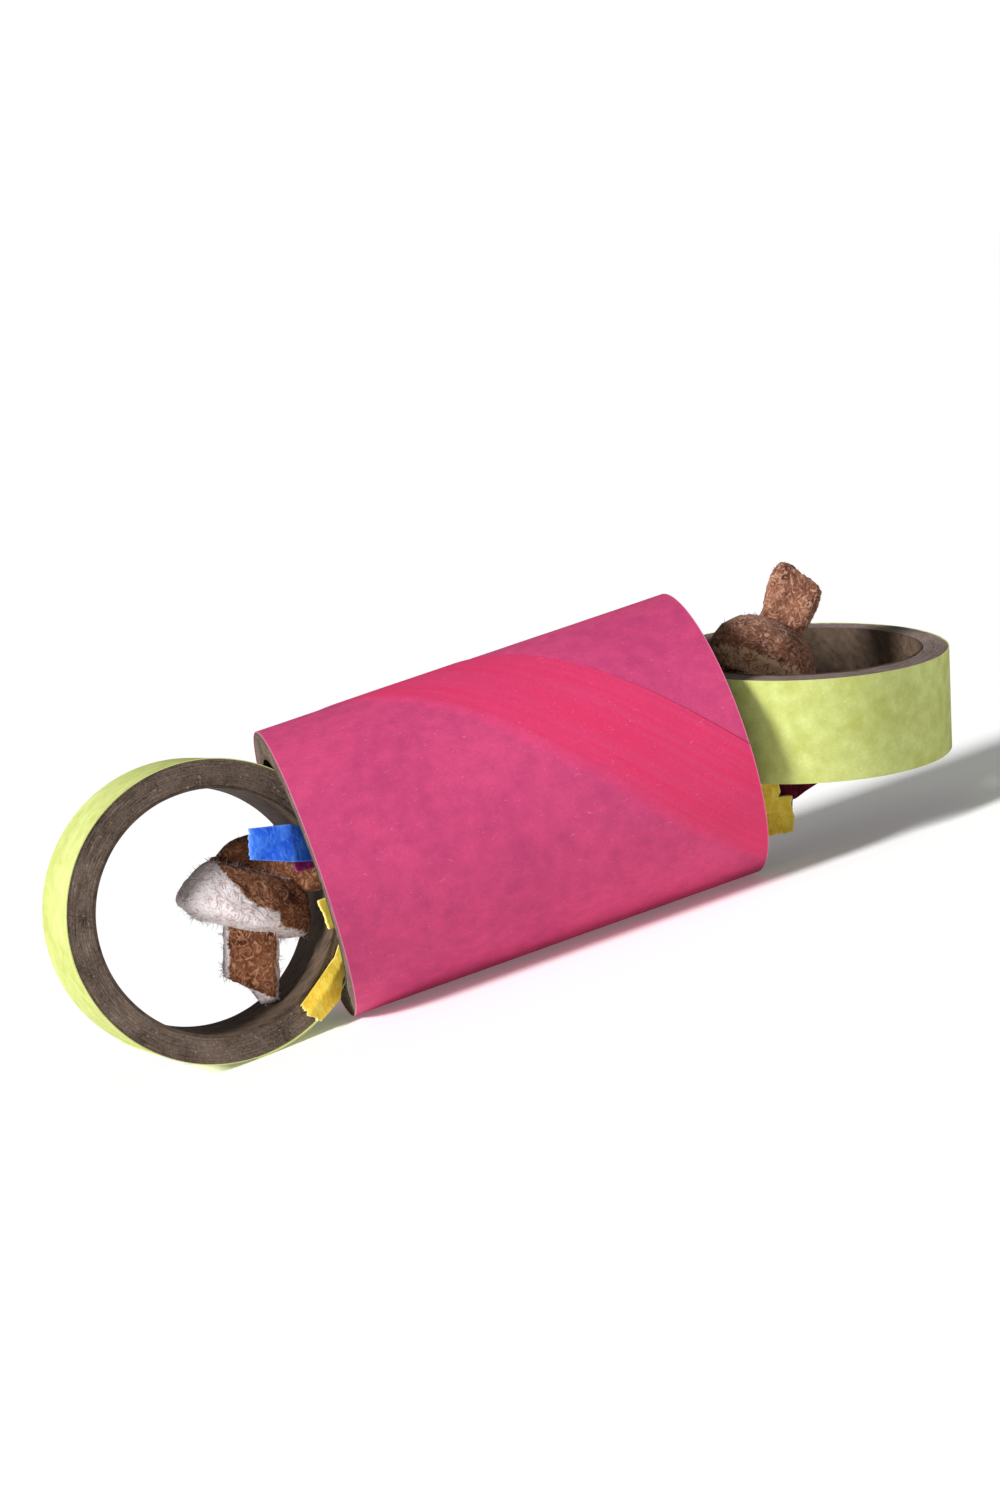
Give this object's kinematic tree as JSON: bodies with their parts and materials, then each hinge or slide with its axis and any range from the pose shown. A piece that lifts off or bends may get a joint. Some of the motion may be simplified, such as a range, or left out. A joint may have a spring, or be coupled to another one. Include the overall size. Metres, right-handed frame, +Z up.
{
  "type": "bird foot toy",
  "caption": "Foraging foot toy for a parrot: a board tube with a board ring lodged in each mouth, knotted on a suede lace, with folded card strips stuffed in beside the rings.",
  "frame": {"origin": "on the floor under the middle of the tube, which lies on its side", "axes": "+X along the tube from the upright ring to the level ring, +Z up, -Y towards the side the upright ring faces"},
  "size_m": [0.1627, 0.0528, 0.0508],
  "materials": {
    "pink_paper": "matte dyed paper",
    "yellow_paper": "matte dyed paper",
    "board": "wound grey-brown board",
    "liner": "smooth grey-brown liner ply",
    "suede": "napped suede",
    "blue_card": "matte dyed card",
    "magenta_card": "matte dyed card",
    "yellow_card": "matte dyed card",
    "red_card": "matte dyed card",
    "green_card": "matte dyed card",
    "orange_card": "matte dyed card",
    "purple_card": "matte dyed card",
    "teal_card": "matte dyed card"
  },
  "bodies": {
    "tube": {"tube_wrap": "pink_paper", "tube_board": "board", "tube_liner": "liner", "lace_run": "suede", "core_green_strip": "green_card", "core_orange_strip": "orange_card", "core_purple_strip": "purple_card", "core_teal_strip": "teal_card"},
    "left_ring": {"left_ring_wrap": "yellow_paper", "left_ring_board": "board", "left_ring_liner": "liner"},
    "left_knot": {"left_knot": "suede"},
    "right_ring": {"right_ring_wrap": "yellow_paper", "right_ring_board": "board", "right_ring_liner": "liner"},
    "right_knot": {"right_knot": "suede"},
    "left_blue_strip": {"left_blue_strip": "blue_card"},
    "left_magenta_strip": {"left_magenta_strip": "magenta_card"},
    "left_short_yellow_strip": {"left_short_yellow_strip": "yellow_card"},
    "left_folded_yellow_strip": {"left_folded_yellow_strip": "yellow_card"},
    "right_front_yellow_strip": {"right_front_yellow_strip": "yellow_card"},
    "right_low_yellow_strip": {"right_low_yellow_strip": "yellow_card"},
    "right_red_strip": {"right_red_strip": "red_card"}
  },
  "joints": [
    {"name": "left_ring_swivel", "type": "hinge", "parent": "tube", "child": "left_ring", "pos_m": [-0.05473, 0, 0.0254], "axis": [0.9848, 0.1736, 0], "continuous": true},
    {"name": "left_knot_turn", "type": "hinge", "parent": "left_ring", "child": "left_knot", "pos_m": [-0.05473, 0, 0.0254], "axis": [0.9848, 0.1736, 0], "range_deg": [-20, 20]},
    {"name": "right_ring_swivel", "type": "hinge", "parent": "tube", "child": "right_ring", "pos_m": [0.05473, 0, 0.0254], "axis": [-0.9759, -0.0341, 0.2155], "continuous": true},
    {"name": "right_knot_turn", "type": "hinge", "parent": "right_ring", "child": "right_knot", "pos_m": [0.05473, 0, 0.0254], "axis": [-0.9759, -0.0341, 0.2155], "range_deg": [-20, 20]},
    {"name": "left_blue_pull", "type": "slide", "parent": "left_ring", "child": "left_blue_strip", "axis": [-0.9848, -0.1736, 0], "range_m": [0, 0.02]},
    {"name": "left_magenta_pull", "type": "slide", "parent": "left_ring", "child": "left_magenta_strip", "axis": [-0.9848, -0.1736, 0], "range_m": [0, 0.02]},
    {"name": "left_short_yellow_pull", "type": "slide", "parent": "left_ring", "child": "left_short_yellow_strip", "axis": [-0.9848, -0.1736, 0], "range_m": [0, 0.02]},
    {"name": "left_folded_yellow_pull", "type": "slide", "parent": "left_ring", "child": "left_folded_yellow_strip", "axis": [-0.9848, -0.1736, 0], "range_m": [0, 0.02]},
    {"name": "right_front_yellow_pull", "type": "slide", "parent": "right_ring", "child": "right_front_yellow_strip", "axis": [0.9759, 0.0341, -0.2155], "range_m": [0, 0.02]},
    {"name": "right_low_yellow_pull", "type": "slide", "parent": "right_ring", "child": "right_low_yellow_strip", "axis": [0.9759, 0.0341, -0.2155], "range_m": [0, 0.02]},
    {"name": "right_red_pull", "type": "slide", "parent": "right_ring", "child": "right_red_strip", "axis": [0.9759, 0.0341, -0.2155], "range_m": [0, 0.02]}
  ]
}
